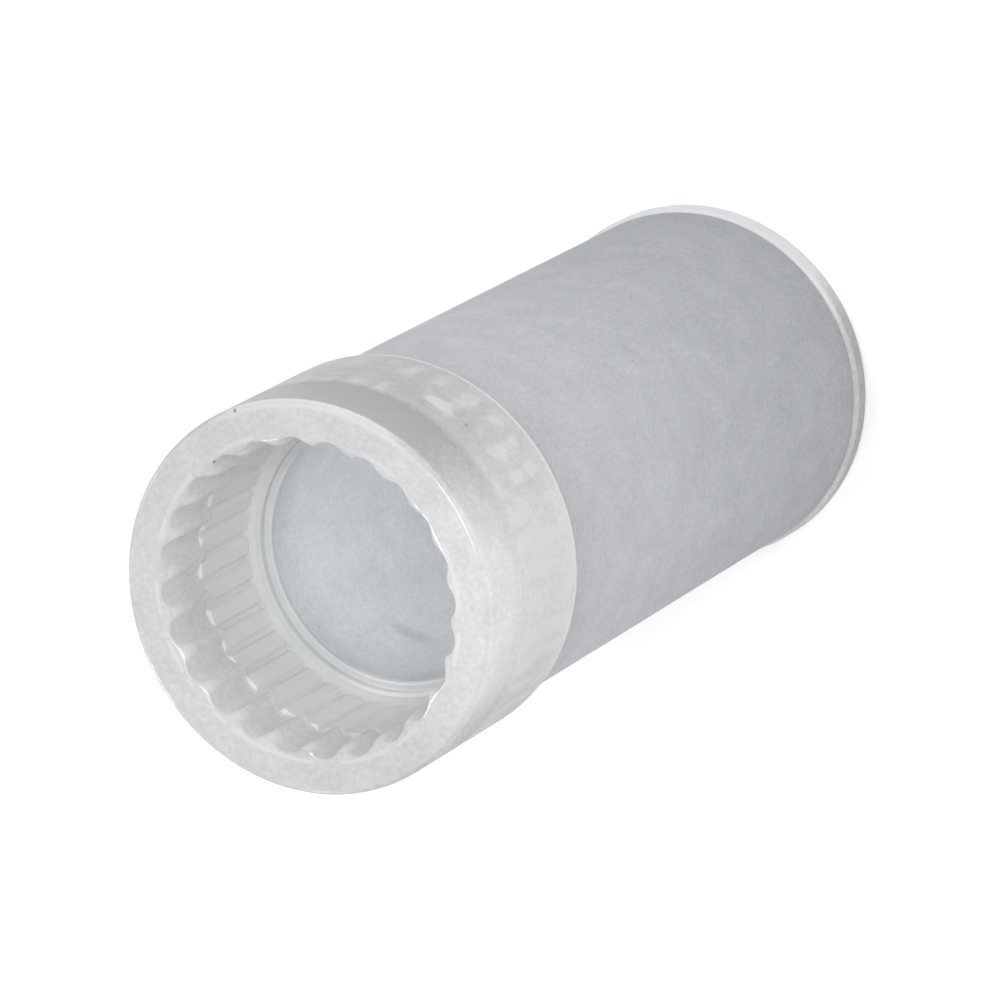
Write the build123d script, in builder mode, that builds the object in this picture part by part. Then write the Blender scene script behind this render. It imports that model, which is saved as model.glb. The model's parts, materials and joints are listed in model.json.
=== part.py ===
"""Saliva ejector tip: a short push-on suction tip with a fluted mouth.

The tip stands on its rear face, with its mouth up. The origin is the centre of the
rear face and +Z runs along the bore, towards the mouth. Millimetres throughout.

The radii are built up from the bore outwards, so every piece keeps its fit when one
size is changed:
    bore -> grip ribs -> bush wall -> socket wall -> skirt wall
"""

from build123d import *

import os
from math import cos, pi

# Overall
overall_length = 22.2       # rear face to mouth
bore_diameter = 6.50        # takes the plain end of a standard ejector tube

# Front collar: a ferrule over the barrel's front end
collar_length = 4.63
skirt_wall = 0.2325         # the thin part that laps over the barrel
mouth_depth = 1.83          # the thick part, with the flutes
mouth_edge_radius = 0.14
lip_radius = 0.36           # rounds the flutes into the mouth face
skirt_edge_chamfer = 0.06
flute_count = 24
flute_relief = 0.37         # bore wall to flute crest
flute_depth = 0.26
flute_land = 0.153          # crest left between two flutes
flute_crest_radius = 0.06   # rounds the corner beside each flute

# Grip bush: a ribbed liner in the barrel's front socket
bush_length = 2.36
bush_wall = 0.27            # behind the grooves
rib_count = 40
rib_height = 0.11
rib_relief = 0.52           # bore wall to rib land
groove_width = 0.17

# Seal ring: a stepped washer under the bush
seal_thickness = 0.40
step_width = 0.20           # bore wall to the foot of the step
step_depth = 0.20
seal_edge_radius = 0.05

# Barrel: the plain tube
socket_wall = 0.38          # round the bush
rear_bore_chamfer = 0.20

# Rear end ring: pushed on a seat turned on the barrel's rear end
ring_length = 0.70
ring_proud = 0.09           # how far it stands out from the barrel
ring_seat_depth = 0.25
ring_edge_radius = 0.22
ring_shoulder = 0.06

# Fits, as radial or axial clearances between pieces
push_clearance = 0.0        # the ferrule, bush, washer and end ring are line to line
seat_clearance = 0.0        # faces that butt together

# Radii, from the bore outwards
bore_radius = bore_diameter / 2
flute_crest = bore_radius + flute_relief
flute_root = flute_crest + flute_depth
flute_half_angle = pi / flute_count - flute_land / 2 / flute_crest      # seen from the axis
flute_centre = (flute_root**2 - flute_crest**2) / 2 / (flute_root - flute_crest * cos(flute_half_angle))
flute_radius = flute_root - flute_centre
rib_land = bore_radius + rib_relief
rib_root = rib_land + rib_height
bush_radius = rib_root + bush_wall
socket_radius = bush_radius + push_clearance
barrel_radius = socket_radius + socket_wall
skirt_bore = barrel_radius + push_clearance
collar_radius = skirt_bore + skirt_wall
ring_seat = barrel_radius - ring_seat_depth
ring_bore = ring_seat + push_clearance
ring_radius = barrel_radius + ring_proud

# Heights, from the mouth downwards
mouth_z = overall_length
barrel_front_z = mouth_z - mouth_depth - seat_clearance
bush_front_z = barrel_front_z
bush_rear_z = bush_front_z - bush_length
seal_front_z = bush_rear_z - seat_clearance
socket_floor_z = seal_front_z - seal_thickness
skirt_end_z = mouth_z - collar_length


def rims(part):
    """The circular edges of a part, smallest first."""
    return part.edges().filter_by(GeomType.CIRCLE).sort_by(SortBy.RADIUS)


def tube(outer, inner, bottom, height):
    """Adds a plain ring of the current part, by its radii, its foot and its height."""
    with BuildSketch(Plane.XY.offset(bottom)) as ring_section:
        Circle(outer)
        Circle(inner, mode=Mode.SUBTRACT)
    extrude(ring_section.sketch, amount=height)


# Barrel: one plain tube, socketed at the front and seated for the end ring at the rear
with BuildPart() as barrel:
    tube(barrel_radius, bore_radius, ring_length, barrel_front_z - ring_length)
    tube(ring_seat, bore_radius, 0, ring_length)
    with BuildSketch(Plane.XY.offset(socket_floor_z)):
        Circle(socket_radius)
    extrude(amount=barrel_front_z - socket_floor_z, mode=Mode.SUBTRACT)
    rear_rims = rims(barrel).group_by(Axis.Z)[0]
    chamfer(rear_rims.sort_by(SortBy.RADIUS)[0], rear_bore_chamfer)
barrel.part.label = "barrel"

# Front collar: a thick fluted mouth, with a thin skirt that laps over the barrel
with BuildPart() as front_collar:
    with BuildSketch(Plane.XY.offset(barrel_front_z)):
        Circle(collar_radius)
        with BuildSketch(mode=Mode.PRIVATE) as fluted_hole:
            Circle(flute_crest)
            with PolarLocations(flute_centre, flute_count):
                Circle(flute_radius)
            fillet(fluted_hole.vertices(), flute_crest_radius)
        add(fluted_hole.sketch, mode=Mode.SUBTRACT)
    extrude(amount=mouth_z - barrel_front_z)
    tube(collar_radius, skirt_bore, skirt_end_z, barrel_front_z - skirt_end_z)
    fillet(rims(front_collar)[-2:].sort_by(Axis.Z)[-1], mouth_edge_radius)
    skirt_rims = rims(front_collar).group_by(Axis.Z)[0]
    chamfer(skirt_rims.sort_by(SortBy.RADIUS)[-1], skirt_edge_chamfer)
    with BuildSketch(Plane.XZ):
        with BuildLine():
            lip_foot = (flute_crest, mouth_z - lip_radius)
            lip_top = (flute_crest + lip_radius, mouth_z)
            RadiusArc(lip_foot, lip_top, -lip_radius)
            Polyline(lip_top, (0, mouth_z), (0, mouth_z - lip_radius), lip_foot)
        make_face()
    revolve(axis=Axis.Z, mode=Mode.SUBTRACT)
front_collar.part.label = "front_collar"

# Grip bush: a soft liner with fine lengthwise ribs, held between the collar and the washer
with BuildPart() as grip_bush:
    with BuildSketch(Plane.XY.offset(bush_rear_z)):
        Circle(bush_radius)
        Circle(rib_land, mode=Mode.SUBTRACT)
        with PolarLocations(rib_root - rib_height, rib_count):
            Rectangle(2 * rib_height, groove_width, mode=Mode.SUBTRACT)
    extrude(amount=bush_length)
grip_bush.part.label = "grip_bush"

# Seal ring: a washer that wipes the ejector tube, stepped down to the bore
with BuildPart() as seal_ring:
    with BuildSketch(Plane.XZ) as seal_section:
        with BuildLine():
            Polyline(
                (bore_radius, socket_floor_z),
                (bush_radius, socket_floor_z),
                (bush_radius, seal_front_z),
                (bore_radius + step_width, seal_front_z),
                (bore_radius + step_width, seal_front_z - step_depth),
                (bore_radius, seal_front_z - step_depth),
                close=True,
            )
        make_face()
        corners = seal_section.vertices().sort_by(Axis.X)
        bore_corner = corners[0:2].sort_by(Axis.Y)[-1]
        step_corner = corners[2:4].sort_by(Axis.Y)[-1]
        fillet([bore_corner, step_corner], seal_edge_radius)
    revolve(axis=Axis.Z)
seal_ring.part.label = "seal_ring"

# Rear end ring: finishes the cut end of the barrel and stiffens it
with BuildPart() as rear_end_ring:
    tube(ring_radius, ring_bore, 0, ring_length)
    fillet(rims(rear_end_ring)[-2:].sort_by(Axis.Z)[0], ring_edge_radius)
    shoulder_rims = rims(rear_end_ring).group_by(Axis.Z)[-1]
    chamfer(shoulder_rims.sort_by(SortBy.RADIUS)[-1], ring_shoulder)
rear_end_ring.part.label = "rear_end_ring"

os.makedirs("parts", exist_ok=True)
for piece in (barrel, front_collar, grip_bush, seal_ring, rear_end_ring):
    export_step(piece.part, f"parts/{piece.part.label}.step")
    print(piece.part.label, round(piece.part.volume, 3), piece.part.is_valid)
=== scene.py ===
"""Saliva ejector tip: the finished look of its five pieces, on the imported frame. Metres."""

import json
import math

import bmesh
import bpy
from mathutils import Matrix, Vector


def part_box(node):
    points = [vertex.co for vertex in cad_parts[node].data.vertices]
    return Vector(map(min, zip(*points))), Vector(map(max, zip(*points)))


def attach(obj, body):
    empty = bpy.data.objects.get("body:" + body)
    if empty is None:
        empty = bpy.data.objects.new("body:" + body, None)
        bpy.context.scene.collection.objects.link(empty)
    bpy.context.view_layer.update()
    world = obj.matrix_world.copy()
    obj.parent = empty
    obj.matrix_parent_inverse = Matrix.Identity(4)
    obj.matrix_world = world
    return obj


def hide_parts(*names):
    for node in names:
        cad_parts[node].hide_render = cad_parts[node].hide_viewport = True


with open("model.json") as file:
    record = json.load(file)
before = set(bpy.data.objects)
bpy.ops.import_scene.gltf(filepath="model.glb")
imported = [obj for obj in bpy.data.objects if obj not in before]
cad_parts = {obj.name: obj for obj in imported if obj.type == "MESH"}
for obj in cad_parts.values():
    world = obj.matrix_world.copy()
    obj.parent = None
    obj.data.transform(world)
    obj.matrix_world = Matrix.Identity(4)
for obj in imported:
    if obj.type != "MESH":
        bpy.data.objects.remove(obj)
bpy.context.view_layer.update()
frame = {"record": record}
MM = 0.001


# ---------------------------------------------------------------------------------------
# Camera: the tip stands on its rear face, and a long lens looks down at its mouth. The
# camera is rolled, so that the tip points to the upper right.

view_elevation = math.radians(59.64)
view_turn = math.radians(-3.0)
view_roll = math.radians(119.23)
view_distance = 173.68 * MM
aim_height = 12.21 * MM
aim_side = -0.187 * MM

camera_data = bpy.data.cameras.new("product_camera")
camera_data.sensor_width = 36.0
camera_data.lens = 255.9
camera_data.clip_start = 0.01
camera_data.clip_end = 5.0
camera = bpy.data.objects.new("product_camera", camera_data)
bpy.context.scene.collection.objects.link(camera)
bpy.context.scene.camera = camera

turn = Matrix.Rotation(view_turn, 3, "Z")
view_forward = turn @ Vector((0.0, math.cos(view_elevation), -math.sin(view_elevation)))
level_right = turn @ Vector((1.0, 0.0, 0.0))
level_up = level_right.cross(view_forward)
view_right = math.cos(view_roll) * level_right - math.sin(view_roll) * level_up
view_up = view_right.cross(view_forward)
camera_aim = turn @ Vector((aim_side, 0.0, aim_height))
camera_axes = Matrix((view_right, view_up, -view_forward)).transposed().to_4x4()
camera.matrix_world = Matrix.Translation(camera_aim - view_distance * view_forward) @ camera_axes


# ---------------------------------------------------------------------------------------
# Barrel: the plain tube that carries everything else. It is moulded in translucent
# polypropylene with a bead-blasted outside, bored through, socketed at the front for the
# bush and the washer, and turned down at the rear for its end ring.

barrel_low, barrel_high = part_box("barrel")
collar_low, collar_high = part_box("front_collar")
bush_low, bush_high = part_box("grip_bush")
seal_low, seal_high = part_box("seal_ring")
ring_low, ring_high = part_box("rear_end_ring")
bore_mount = next(m for m in frame["record"]["mounts"] if m["name"] == "ejector_bore")
bore_radius = bore_mount["dims"]["r_mm"] * MM
bore_edge_radius = 0.18 * MM    # eases the rear of the bore
socket_edge_radius = 0.05 * MM
ring_seat_depth = 0.25 * MM     # how far the end ring is let in
barrel_seat = barrel_high.x - ring_seat_depth
push_gap = 0.012 * MM           # air left between two pushed fits
turned_steps = 240              # facets round a plain turned piece
arc_steps = 6                   # facets round a rounded corner
corner_guard = 1.3              # a point just outside each rounding keeps the flats flat
sharpest_smooth = math.radians(38)


def outline(corners):
    """A closed section from (radius, height, rounding) corners, with each corner rounded."""
    points = []
    for index, (radius, height, rounding) in enumerate(corners):
        corner = Vector((radius, height))
        before = (Vector(corners[index - 1][:2]) - corner).normalized()
        after = (Vector(corners[(index + 1) % len(corners)][:2]) - corner).normalized()
        if rounding <= 0.0:
            points.append(corner)
            continue
        half_angle = before.angle(after) / 2
        reach = rounding / math.tan(half_angle)
        centre = corner + (before + after).normalized() * rounding / math.sin(half_angle)
        start = corner + before * reach - centre
        sweep = (corner + after * reach - centre).angle_signed(start)
        points.append(corner + before * reach * corner_guard)
        for step in range(arc_steps + 1):
            points.append(centre + Matrix.Rotation(sweep * step / arc_steps, 2) @ start)
        points.append(corner + after * reach * corner_guard)
    return points


def sector(name, section, angles):
    """A strip of skin round the bore: one section outline at each angle, joined in quads."""
    mesh = bpy.data.meshes.new(name)
    skin = bmesh.new()
    rows = []
    for angle in angles:
        ray = Vector((math.cos(angle), math.sin(angle)))
        rows.append([skin.verts.new((p.x * ray.x, p.x * ray.y, p.y)) for p in section(angle)])
    for here, there in zip(rows, rows[1:]):
        count = len(here)
        for k in range(count):
            skin.faces.new((here[k], there[k], there[(k + 1) % count], here[(k + 1) % count]))
    skin.to_mesh(mesh)
    skin.free()
    piece = bpy.data.objects.new(name, mesh)
    bpy.context.scene.collection.objects.link(piece)
    return piece


def add_node(tree, kind, settings=None, links=None):
    """Adds a node, sets its properties and input values by name, and links its inputs."""
    node = tree.nodes.new(kind)
    for key, value in (settings or {}).items():
        if isinstance(key, str) and hasattr(node, key):
            setattr(node, key, value)
        else:
            node.inputs[key].default_value = value
    for key, source in (links or {}).items():
        tree.links.new(source, node.inputs[key])
    return node


def ring_tree():
    """Geometry nodes that repeat a strip of skin round the bore."""
    tree = bpy.data.node_groups.new("repeat_round_the_bore", "GeometryNodeTree")
    tree.interface.new_socket("Geometry", in_out="INPUT", socket_type="NodeSocketGeometry")
    tree.interface.new_socket("Copies", in_out="INPUT", socket_type="NodeSocketInt")
    tree.interface.new_socket("Finish", in_out="INPUT", socket_type="NodeSocketMaterial")
    tree.interface.new_socket("Geometry", in_out="OUTPUT", socket_type="NodeSocketGeometry")
    given = add_node(tree, "NodeGroupInput").outputs
    points = add_node(tree, "GeometryNodeMeshLine", {"Offset": (0, 0, 0)}, {"Count": given["Copies"]})
    index = add_node(tree, "GeometryNodeInputIndex")
    share = add_node(tree, "ShaderNodeMath", {"operation": "DIVIDE"},
                     {0: index.outputs[0], 1: given["Copies"]})
    angle = add_node(tree, "ShaderNodeMath", {"operation": "MULTIPLY", 1: math.tau}, {0: share.outputs[0]})
    turn_by = add_node(tree, "ShaderNodeCombineXYZ", None, {"Z": angle.outputs[0]})
    placed = add_node(tree, "GeometryNodeInstanceOnPoints", None,
                      {"Points": points.outputs[0], "Instance": given["Geometry"],
                       "Rotation": turn_by.outputs[0]})
    real = add_node(tree, "GeometryNodeRealizeInstances", None, {"Geometry": placed.outputs[0]})
    finish = add_node(tree, "GeometryNodeSetMaterial", None,
                      {"Geometry": real.outputs[0], "Material": given["Finish"]})
    add_node(tree, "NodeGroupOutput", None, {"Geometry": finish.outputs[0]})
    return tree


def repeat_round(piece, copies, material):
    """Repeats a sector round the bore and makes the result the piece's own closed mesh."""
    modifier = piece.modifiers.new("round", "NODES")
    modifier.node_group = round_tree
    keys = {item.name: item.identifier for item in round_tree.interface.items_tree}
    modifier[keys["Copies"]] = copies
    modifier[keys["Finish"]] = material
    evaluated = piece.evaluated_get(bpy.context.evaluated_depsgraph_get())
    whole = bpy.data.meshes.new_from_object(evaluated)
    piece.modifiers.remove(modifier)
    piece.data = whole
    skin = bmesh.new()
    skin.from_mesh(whole)
    bmesh.ops.remove_doubles(skin, verts=skin.verts, dist=0.0005 * MM)
    bmesh.ops.recalc_face_normals(skin, faces=skin.faces)
    skin.to_mesh(whole)
    skin.free()
    whole.shade_smooth()
    whole.set_sharp_from_angle(angle=sharpest_smooth)


def hex_colour(code):
    """An sRGB hex colour as linear RGBA."""
    channels = [int(code[k:k + 2], 16) / 255 for k in (1, 3, 5)]
    linear = [c / 12.92 if c <= 0.04045 else ((c + 0.055) / 1.055) ** 2.4 for c in channels]
    return (*linear, 1.0)


def new_material(name):
    """A material with an empty node tree."""
    material = bpy.data.materials.new(name)
    material.use_nodes = True
    material.node_tree.nodes.clear()
    return material


def round_coordinates(tree):
    """Places on a turned piece: the point itself, its radius, its angle and its height."""
    place = add_node(tree, "ShaderNodeTexCoord").outputs["Object"]
    parts = add_node(tree, "ShaderNodeSeparateXYZ", None, {"Vector": place}).outputs
    flat = add_node(tree, "ShaderNodeCombineXYZ", None, {"X": parts["X"], "Y": parts["Y"]})
    radius = add_node(tree, "ShaderNodeVectorMath", {"operation": "LENGTH"}, {0: flat.outputs[0]})
    angle = add_node(tree, "ShaderNodeMath", {"operation": "ARCTAN2"}, {0: parts["Y"], 1: parts["X"]})
    return place, radius.outputs["Value"], angle.outputs[0], parts["Z"]


def soft_patch(tree, *edges):
    """A soft-edged patch. Each edge is a value, where the patch begins and where it is full."""
    patch = None
    for value, begins, full in edges:
        limits = {"interpolation_type": "SMOOTHSTEP", "From Min": begins, "From Max": full}
        edge = add_node(tree, "ShaderNodeMapRange", limits, {"Value": value}).outputs[0]
        if patch is None:
            patch = edge
        else:
            both = add_node(tree, "ShaderNodeMath", {"operation": "MULTIPLY"}, {0: patch, 1: edge})
            patch = both.outputs[0]
    return patch


def laid_on(tree, base, layers):
    """A plain value with patches and textures laid on it, each at its own strength."""
    total = None
    for layer, strength in layers:
        sum_so_far = add_node(tree, "ShaderNodeMath", {"operation": "MULTIPLY_ADD", 1: strength, 2: base},
                              {0: layer})
        if total is not None:
            tree.links.new(total, sum_so_far.inputs[2])
        total = sum_so_far.outputs[0]
    return total


def dust_specks(tree, place, spacing, size):
    """Sparse dark specks in the moulding, each in its own cell of a Voronoi field."""
    cells = add_node(tree, "ShaderNodeTexVoronoi", {"Scale": 1 / spacing}, {"Vector": place})
    chance = add_node(tree, "ShaderNodeSeparateColor", None, {"Color": cells.outputs["Color"]})
    return soft_patch(tree, (chance.outputs[0], 0.55, 0.60),
                      (cells.outputs["Distance"], size / spacing, 0.5 * size / spacing))


def translucent_wall(tree, colour, face, glow_share):
    """Joins the lit face of a milky plastic to the light that comes through its wall."""
    glow = add_node(tree, "ShaderNodeBsdfTranslucent", None, {"Color": colour})
    wall = add_node(tree, "ShaderNodeMixShader", {"Fac": glow_share},
                    {1: face.outputs[0], 2: glow.outputs[0]})
    add_node(tree, "ShaderNodeOutputMaterial", None, {"Surface": wall.outputs[0]})


def bead_blasted_polypropylene():
    """Translucent polypropylene from a bead-blasted mould, with one faint dark smear on the bore's wall."""
    # To the eye: a cool milky grey, matt, with a fine even grain and no clear reflection.
    material = new_material("bead_blasted_polypropylene")
    tree = material.node_tree
    place, radius, angle, height = round_coordinates(tree)
    grain = add_node(tree, "ShaderNodeTexNoise", {"Scale": 1 / (0.11 * MM), "Detail": 2.0}, {"Vector": place})
    cloud = add_node(tree, "ShaderNodeTexNoise", {"Scale": 1 / (0.9 * MM), "Detail": 3.0}, {"Vector": place})
    mark_centre = Vector((-1.86 * MM, 2.66 * MM, barrel_high.z - 5.7 * MM))    # on the bore's wall
    from_mark = add_node(tree, "ShaderNodeVectorMath", {"operation": "SUBTRACT", 1: mark_centre}, {0: place})
    mark_scale = (1 / (1.0 * MM), 1 / (1.0 * MM), 1 / (0.45 * MM))
    across = add_node(tree, "ShaderNodeVectorMath", {"operation": "MULTIPLY", 1: mark_scale},
                      {0: from_mark.outputs[0]})
    reach = add_node(tree, "ShaderNodeVectorMath", {"operation": "LENGTH"}, {0: across.outputs[0]})
    milk = laid_on(tree, -0.33, [
        (grain.outputs[0], 0.85),
        (cloud.outputs[0], 0.6),
        # painted shade: the tube is painted darker towards its rear end and lighter towards the mouth
        (soft_patch(tree, (height, 0.0, barrel_high.z)), 0.4),
        (soft_patch(tree, (reach.outputs["Value"], 1.0, 0.2)), -0.4),
        (dust_specks(tree, place, 1.3 * MM, 0.035 * MM), -2.0),
    ])
    colour = add_node(tree, "ShaderNodeMix",
                      {"data_type": "RGBA", 6: hex_colour("#ccced1"), 7: hex_colour("#f2f3f4")}, {0: milk})
    rough = add_node(tree, "ShaderNodeMapRange", {"To Min": 0.5, "To Max": 0.65}, {"Value": grain.outputs[0]})
    bump = add_node(tree, "ShaderNodeBump", {"Strength": 0.35, "Distance": 0.012 * MM},
                    {"Height": grain.outputs[0]})
    face = add_node(tree, "ShaderNodeBsdfPrincipled", {"IOR": 1.49, "Specular IOR Level": 0.35},
                    {"Base Color": colour.outputs[2], "Roughness": rough.outputs[0],
                     "Normal": bump.outputs[0]})
    translucent_wall(tree, colour.outputs[2], face, 0.66)
    return material


def barrel_section(angle):
    """The tube's wall, from the rear of the bore round to the front socket."""
    return outline([
        (bore_radius, barrel_low.z, bore_edge_radius),
        (barrel_seat, barrel_low.z, 0.03 * MM),
        (barrel_seat, ring_high.z, 0.0),
        (barrel_high.x, ring_high.z, 0.02 * MM),
        (barrel_high.x, barrel_high.z, socket_edge_radius),
        (bush_high.x, barrel_high.z, socket_edge_radius),
        (bush_high.x, seal_low.z, 0.0),
        (bore_radius, seal_low.z, 0.02 * MM),
    ])


round_tree = ring_tree()
barrel_step = math.tau / turned_steps
barrel = sector("barrel_tube", barrel_section, (0.0, barrel_step))
repeat_round(barrel, turned_steps, bead_blasted_polypropylene())
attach(barrel, "root")
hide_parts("barrel")


# ---------------------------------------------------------------------------------------
# Front collar: a ferrule pushed over the barrel's front end. It is moulded in clear
# polypropylene with polished tooling, so its wall glows. Its highlights, its lighter side, its
# dark front band and the ribs seen through its skirt are painted light and shade in its colour.
# Twenty-four shallow flutes run into the mouth, and the lip is rounded off.

flute_count = 24
flute_crest = bore_radius + 0.37 * MM
flute_depth = 0.26 * MM
flute_radius = 0.42 * MM
crest_blend = 0.02 * MM         # softens the flute where it runs into its crest
lip_radius = 0.36 * MM
lip_blend = 0.015 * MM
mouth_edge_radius = 0.14 * MM
skirt_edge_radius = 0.05 * MM
flute_steps = 16
lip_steps = 12
rib_streaks = 40.0              # painted light streaks round the skirt, one for each rib behind it


def flute_reach(angle):
    """The radius of the fluted hole at an angle: round-bottomed flutes between narrow crests."""
    pitch = math.tau / flute_count
    off_middle = (angle + pitch / 2) % pitch - pitch / 2
    centre = flute_crest + flute_depth - flute_radius
    side = centre * math.sin(off_middle)
    if abs(side) >= flute_radius:
        return flute_crest
    arc = centre * math.cos(off_middle) + math.sqrt(flute_radius ** 2 - side ** 2)
    return flute_crest + math.log1p(math.exp((arc - flute_crest) / crest_blend)) * crest_blend


def collar_section(angle):
    """The ferrule's wall: skirt, shoulder, fluted mouth, rounded lip and plain outside."""
    reach = flute_reach(angle)
    shoulder = barrel_high.z + push_gap
    face = collar_high.z
    skirt_bore = barrel_high.x + push_gap
    points = [Vector((skirt_bore, collar_low.z)), Vector((skirt_bore, shoulder)), Vector((reach, shoulder))]
    for share in (0.03, 0.1, 0.3, 0.5, 0.7, 0.9):
        points.append(Vector((reach, shoulder + share * (face - lip_radius - shoulder))))
    for step in range(lip_steps + 1):
        turn_in = math.pi / 2 * step / lip_steps
        lip = flute_crest + lip_radius * (1 - math.cos(turn_in))
        height = face - lip_radius * (1 - math.sin(turn_in))
        far = max(reach, lip) + lip_blend * math.log1p(math.exp(-abs(reach - lip) / lip_blend))
        points.append(Vector((min(far, flute_crest + lip_radius), height)))
    rim = outline([(flute_crest + lip_radius, face, 0.0), (collar_high.x, face, mouth_edge_radius),
                   (collar_high.x, collar_low.z, skirt_edge_radius), (skirt_bore, collar_low.z, 0.0)])
    return points + rim[1:-1]


def clear_polypropylene(name, haze_level, haze_and_light_of):
    """Clear polypropylene from a polished mould, with patches of haze and of painted light and shade laid on
    by the given function.
    """
    # To the eye: a pale, wet-looking gloss over soft milky clouds and a few dark specks.
    material = new_material(name)
    tree = material.node_tree
    coordinates = round_coordinates(tree)
    place = coordinates[0]
    grain = add_node(tree, "ShaderNodeTexNoise", {"Scale": 1 / (0.13 * MM), "Detail": 3.0}, {"Vector": place})
    cloud = add_node(tree, "ShaderNodeTexNoise", {"Scale": 1 / (0.9 * MM), "Detail": 3.0}, {"Vector": place})
    milk = laid_on(tree, haze_level, haze_and_light_of(tree, *coordinates) + [
        (grain.outputs[0], 0.6),
        (cloud.outputs[0], 0.4),
        (dust_specks(tree, place, 0.8 * MM, 0.06 * MM), -3.0),
    ])
    colour = add_node(tree, "ShaderNodeMix",
                      {"data_type": "RGBA", 6: hex_colour("#bcbec0"), 7: hex_colour("#ffffff")}, {0: milk})
    bump = add_node(tree, "ShaderNodeBump", {"Strength": 0.4, "Distance": 0.02 * MM},
                    {"Height": cloud.outputs[0]})
    face = add_node(tree, "ShaderNodeBsdfPrincipled",
                    {"IOR": 1.49, "Roughness": 0.12, "Specular IOR Level": 1.0},
                    {"Base Color": colour.outputs[2], "Normal": bump.outputs[0]})
    translucent_wall(tree, colour.outputs[2], face, 0.55)
    return material


def collar_haze_and_painted_light(tree, place, radius, angle, height):
    """Where the ferrule is hazy, and where light and shade are painted on it: painted highlights on its
    edges, crest tips, flute ends and lip, a painted highlight blob, painted light streaks for the ribs behind
    its skirt, a painted lighter side, and its front band painted dark as shade.
    """
    mouth = collar_high.z
    outside = ((radius, collar_high.x - 0.1 * MM, collar_high.x - 0.02 * MM),)
    # painted light: one side of the collar is painted lighter, where the light falls
    painted_light_side = (
        (angle, math.radians(-55), math.radians(-115)),
        (angle, math.radians(-178), math.radians(-140)))
    # painted highlight: the side where the outer mouth edge is painted bright
    highlight_side = (
        (angle, math.radians(-75), math.radians(-50)),
        (angle, math.radians(0), math.radians(-25)))
    # painted light: the side where the flute ends are painted bright
    off_middle = add_node(tree, "ShaderNodeMath", {"operation": "ABSOLUTE"}, {0: angle})
    painted_light_near_side = ((off_middle.outputs[0], math.radians(90), math.radians(140)),)
    warp = add_node(tree, "ShaderNodeTexNoise", {"Scale": 1 / (0.8 * MM), "Detail": 3.0}, {"Vector": place})
    patchy = add_node(tree, "ShaderNodeTexNoise", {"Scale": 1 / (1.1 * MM), "Detail": 2.0}, {"Vector": place})
    # painted streaks of light for the ribs seen through the wall, bent a little by noise
    straight = add_node(tree, "ShaderNodeMath", {"operation": "MULTIPLY", 1: rib_streaks}, {0: angle})
    bent = add_node(tree, "ShaderNodeMath", {"operation": "MULTIPLY_ADD", 1: 6.0},
                    {0: warp.outputs[0], 2: straight.outputs[0]})
    streaks = add_node(tree, "ShaderNodeMath", {"operation": "SINE"}, {0: bent.outputs[0]})
    # painted shade: a dark band round the front of the collar, for what the clear wall shows there
    painted_dark_front_band = outside + (
        (height, mouth - 0.05 * MM, mouth - 0.25 * MM),
        (height, mouth - 2.1 * MM, mouth - 1.6 * MM))
    painted_rib_streaks = outside + (
        (height, mouth - 1.6 * MM, mouth - 2.2 * MM),
        (height, mouth - 4.5 * MM, mouth - 3.9 * MM),
        (patchy.outputs[0], 0.4, 0.6),
        (streaks.outputs[0], -1.0, 1.0))
    # painted highlight along the outer mouth edge
    mouth_edge_highlight = (
        (radius, collar_high.x - 0.2 * MM, collar_high.x - 0.14 * MM),
        (height, mouth - 0.16 * MM, mouth - 0.1 * MM))
    # painted highlight: a bright line along the rear edge of the skirt
    rear_edge_highlight = outside + ((height, collar_low.z + 0.13 * MM, collar_low.z + 0.08 * MM),)
    # painted highlights on the crest tips at the lip
    crest_tip_highlights = (
        (radius, flute_crest + 0.12 * MM, flute_crest + 0.04 * MM),
        (height, mouth - 0.5 * MM, mouth - 0.3 * MM))
    # painted highlights at the inner ends of the flutes
    flute_end_highlights = (
        (radius, 4.0 * MM, 3.9 * MM),
        (height, mouth - 1.62 * MM, mouth - 1.75 * MM))
    # painted highlight: a bright, broken line round the lip
    lip_highlight_line = (
        (radius, flute_crest + 0.29 * MM, flute_crest + 0.33 * MM),
        (radius, flute_crest + 0.41 * MM, flute_crest + 0.37 * MM),
        (height, mouth - 0.12 * MM, mouth - 0.06 * MM),
        (patchy.outputs[0], 0.46, 0.56))
    # painted highlight: a small white blob on the outside of the collar
    painted_highlight_blob = outside + (
        (angle, math.radians(-56), math.radians(-60)),
        (angle, math.radians(-69), math.radians(-65)),
        (height, mouth - 3.1 * MM, mouth - 2.85 * MM),
        (height, mouth - 2.45 * MM, mouth - 2.7 * MM),
        (warp.outputs[0], 0.35, 0.5))
    patches = (
        (outside, -0.36),
        (painted_dark_front_band, -0.65),
        (painted_dark_front_band + painted_light_side, 0.5),
        (outside + painted_light_side, 0.48),
        (mouth_edge_highlight + highlight_side, 0.7),
        (painted_rib_streaks, 0.3),
        (flute_end_highlights + painted_light_near_side, 1.0),
        (rear_edge_highlight, 1.0),
        (crest_tip_highlights, 1.0),
        (lip_highlight_line, 1.0),
        (painted_highlight_blob, 1.0))
    return [(soft_patch(tree, *edges), strength) for edges, strength in patches]


flute_pitch = math.tau / flute_count
flute_angles = [flute_pitch * (k / flute_steps - 0.5) for k in range(flute_steps + 1)]
collar = sector("collar_ferrule", collar_section, flute_angles)
repeat_round(collar, flute_count, clear_polypropylene("clear_polypropylene_collar", 0.33, collar_haze_and_painted_light))
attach(collar, "root")
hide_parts("front_collar")


# ---------------------------------------------------------------------------------------
# Grip bush: a soft silicone liner trapped behind the flutes. Forty fine ribs with flat
# lands run along it, parted by narrow grooves.

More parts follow.
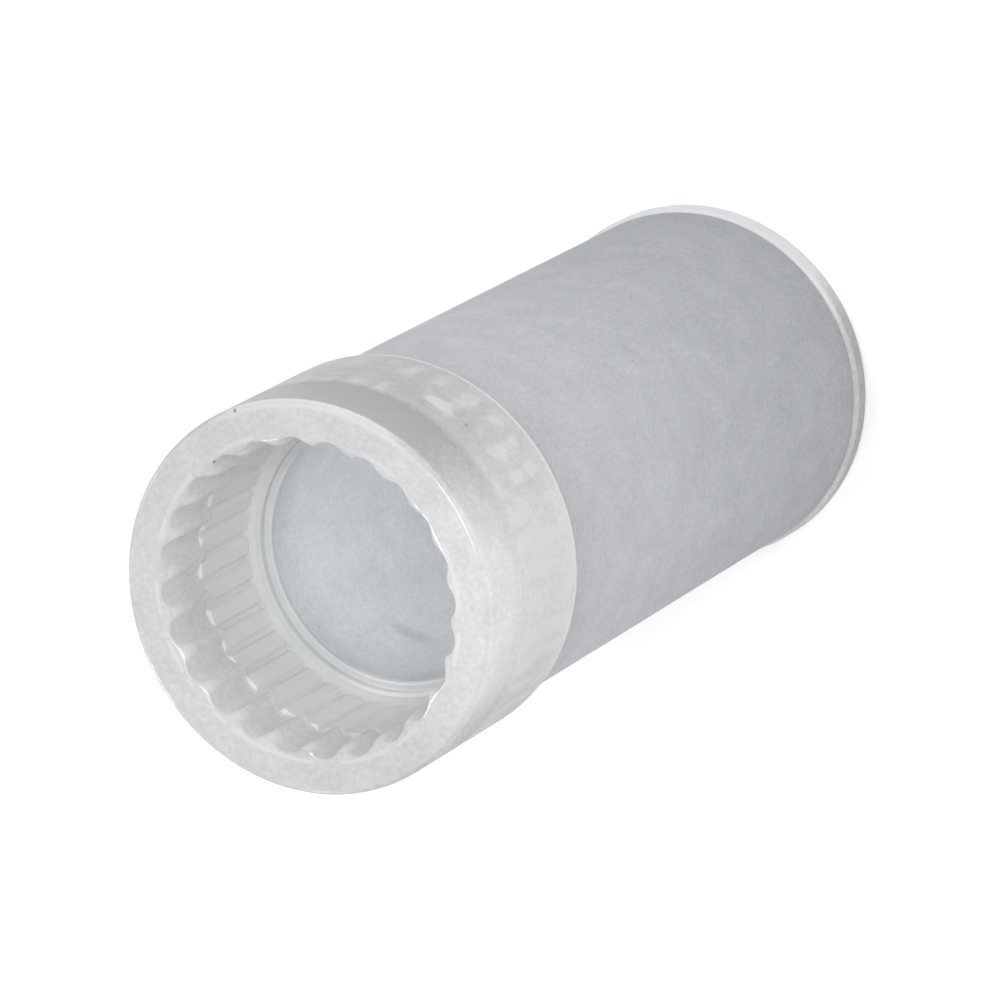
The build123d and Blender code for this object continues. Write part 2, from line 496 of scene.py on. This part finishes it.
rib_count = 40
rib_land = bore_radius + 0.52 * MM
rib_height = 0.11 * MM
groove_width = 0.17 * MM
groove_ease = 0.01 * MM         # rounds the land down into its groove
rib_end_radius = 0.03 * MM
rib_steps = 24


def bush_section(angle):
    """The liner's wall at an angle: land or groove inside, plain outside."""
    pitch = math.tau / rib_count
    off_middle = abs((angle + pitch / 2) % pitch - pitch / 2) * rib_land
    into_groove = (groove_width / 2 - off_middle) / groove_ease
    inside = rib_land + rib_height / (1 + math.exp(-into_groove))
    outside = bush_high.x - push_gap
    return outline([
        (inside, bush_low.z + push_gap, 0.0),
        (outside, bush_low.z + push_gap, 0.0),
        (outside, bush_high.z - push_gap, 0.0),
        (inside, bush_high.z - push_gap, rib_end_radius),
    ])


def clear_silicone(name, haze_level, haze_and_light_of):
    """Moulded silicone rubber, water-clear with a little haze."""
    # To the eye: a soft gloss that spreads the light, paler than the plastic round it.
    material = new_material(name)
    tree = material.node_tree
    coordinates = round_coordinates(tree)
    cloud = add_node(tree, "ShaderNodeTexNoise", {"Scale": 1 / (0.5 * MM), "Detail": 3.0},
                     {"Vector": coordinates[0]})
    milk = laid_on(tree, haze_level, haze_and_light_of(tree, *coordinates) + [(cloud.outputs[0], 0.5)])
    colour = add_node(tree, "ShaderNodeMix",
                      {"data_type": "RGBA", 6: hex_colour("#dfe1e2"), 7: hex_colour("#ffffff")}, {0: milk})
    face = add_node(tree, "ShaderNodeBsdfPrincipled", {"IOR": 1.43, "Roughness": 0.3},
                    {"Base Color": colour.outputs[2]})
    translucent_wall(tree, colour.outputs[2], face, 0.4)
    return material


def bush_haze_and_shade(tree, place, radius, angle, height):
    """The liner is slightly greyer on its front rim, and painted shade darkens its grooves."""
    return [
        (soft_patch(tree, (radius, rib_land + 0.02 * MM, rib_land + 0.09 * MM)), -0.1),
        (soft_patch(tree, (height, bush_high.z - 0.12 * MM, bush_high.z - 0.05 * MM)), -0.1),
    ]


rib_pitch = math.tau / rib_count
rib_angles = [rib_pitch * (k / rib_steps - 0.5) for k in range(rib_steps + 1)]
bush = sector("ribbed_bush", bush_section, rib_angles)
repeat_round(bush, rib_count, clear_silicone("clear_silicone_bush", 0.75, bush_haze_and_shade))
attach(bush, "root")
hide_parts("grip_bush")


# ---------------------------------------------------------------------------------------
# Seal ring: a stepped silicone washer at the foot of the bush. It wipes the ejector tube,
# and its two rounded edges carry painted highlights, thin bright rings on one side.

step_width = 0.20 * MM
step_depth = 0.20 * MM
step_edge_radius = 0.05 * MM


def seal_section(angle):
    """The washer's wall, with its step down to the bore."""
    front = seal_high.z - push_gap
    return outline([
        (bore_radius, seal_low.z + push_gap, 0.0),
        (seal_high.x - push_gap, seal_low.z + push_gap, 0.0),
        (seal_high.x - push_gap, front, 0.0),
        (bore_radius + step_width, front, step_edge_radius),
        (bore_radius + step_width, front - step_depth, 0.0),
        (bore_radius, front - step_depth, step_edge_radius),
    ])


def seal_haze_and_highlights(tree, place, radius, angle, height):
    """The washer is grey, with painted highlights on its two edges on one side."""
    off_middle = add_node(tree, "ShaderNodeMath", {"operation": "ABSOLUTE"}, {0: angle})
    painted_light_near_side = (off_middle.outputs[0], math.radians(110), math.radians(150))
    tread_end = (radius, bore_radius + 0.07 * MM, bore_radius + 0.04 * MM)
    step_begins = (radius, bore_radius + 0.15 * MM, bore_radius + 0.19 * MM)
    step_fades = (radius, bore_radius + 0.32 * MM, bore_radius + 0.28 * MM)
    rim = (radius, bore_radius + 0.3 * MM, bore_radius + 0.4 * MM)
    # painted highlights on the washer's two edges, on one side only
    return [
        (soft_patch(tree, tread_end, painted_light_near_side), 1.0),
        (soft_patch(tree, step_begins, step_fades, painted_light_near_side), 1.0),
        (soft_patch(tree, rim), 0.2),
    ]


seal = sector("seal_washer", seal_section, (0.0, barrel_step))
repeat_round(seal, turned_steps, clear_silicone("clear_silicone_washer", 0.05, seal_haze_and_highlights))
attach(seal, "root")
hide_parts("seal_ring")


# ---------------------------------------------------------------------------------------
# Rear end ring: a slim ring pushed on the barrel's turned-down end, in the same clear
# polypropylene as the collar, with a soft rear edge.

rear_edge_radius = 0.22 * MM
shoulder_radius = 0.06 * MM


def ring_section(angle):
    """The ring's wall."""
    return outline([
        (barrel_seat + push_gap, ring_low.z, 0.0),
        (ring_high.x, ring_low.z, rear_edge_radius),
        (ring_high.x, ring_high.z, shoulder_radius),
        (barrel_seat + push_gap, ring_high.z - push_gap, 0.0),
    ])


def ring_haze_and_painted_light(tree, place, radius, angle, height):
    """The ring is painted lighter on one side as painted light, with a painted highlight on its front
    shoulder.
    """
    shoulder = (height, ring_high.z - 0.2 * MM, ring_high.z - 0.05 * MM)
    ring_painted_light_side = ((angle, math.radians(-105), math.radians(-65)), (angle, math.radians(60), math.radians(10)))
    return [(soft_patch(tree, shoulder), 0.4), (soft_patch(tree, *ring_painted_light_side), 0.9)]


end_ring = sector("end_ring", ring_section, (0.0, barrel_step))
repeat_round(end_ring, turned_steps, clear_polypropylene("clear_polypropylene_ring", -0.1, ring_haze_and_painted_light))
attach(end_ring, "root")
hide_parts("rear_end_ring")


# ---------------------------------------------------------------------------------------
# Stage: a pale lit acrylic floor and soft studio light. Most of it comes from beside the
# lens and from above, so that the bore is lit as deep as the tube outside. Three small
# boxes behind the tip catch the wet-looking edges of the mouth.

floor_mesh = bpy.data.meshes.new("studio_floor")
floor_skin = bmesh.new()
bmesh.ops.create_grid(floor_skin, x_segments=1, y_segments=1, size=1.0,
                      matrix=Matrix.Translation((0, 0, -0.02 * MM)))
floor_skin.to_mesh(floor_mesh)
floor_skin.free()
floor = bpy.data.objects.new("studio_floor", floor_mesh)
bpy.context.scene.collection.objects.link(floor)
floor_finish = new_material("lit_opal_acrylic")
table_top = add_node(floor_finish.node_tree, "ShaderNodeBsdfPrincipled",
                     {"Base Color": hex_colour("#f4f4f4"), "Roughness": 0.9, "Specular IOR Level": 0.2,
                      "Emission Color": hex_colour("#ffffff"), "Emission Strength": 0.18})
add_node(floor_finish.node_tree, "ShaderNodeOutputMaterial", None, {"Surface": table_top.outputs[0]})
floor_mesh.materials.append(floor_finish)


def soft_box(name, direction, distance, size, power):
    """A square area light that faces the tip from a direction in the room."""
    data = bpy.data.lights.new(name, "AREA")
    data.energy = power
    data.size = size
    lamp = bpy.data.objects.new(name, data)
    bpy.context.scene.collection.objects.link(lamp)
    towards = Vector(direction).normalized()
    lamp.location = camera_aim + towards * distance
    lamp.rotation_mode = "QUATERNION"
    lamp.rotation_quaternion = (-towards).to_track_quat("-Z", "Y")


soft_box("top_box", (0.0, 0.0, 1.0), 0.4, 0.4, 0.35)
soft_box("front_box", -view_forward, 0.45, 0.2, 1.1)
soft_box("fill_box", view_right * 0.45 - view_up * 0.8 - view_forward * 0.4, 0.4, 0.2, 0.08)
soft_box("key_box", view_up * 0.7 - view_right * 0.5 - view_forward * 0.6, 0.35, 0.035, 0.16)
for side, side_angle, power in (("left", 120.0, 0.12), ("middle", 87.0, 0.17), ("right", 54.0, 0.12)):
    azimuth = math.radians(side_angle)
    soft_box(f"rim_box_{side}", (math.cos(azimuth), math.sin(azimuth), 0.43), 0.3, 0.04, power)

room = bpy.data.worlds.new("studio_room")
bpy.context.scene.world = room
room.use_nodes = True
room.node_tree.nodes["Background"].inputs["Color"].default_value = hex_colour("#ffffff")
room.node_tree.nodes["Background"].inputs["Strength"].default_value = 0.25
bpy.context.scene.view_settings.view_transform = "Standard"
bpy.context.scene.cycles.diffuse_bounces = 12
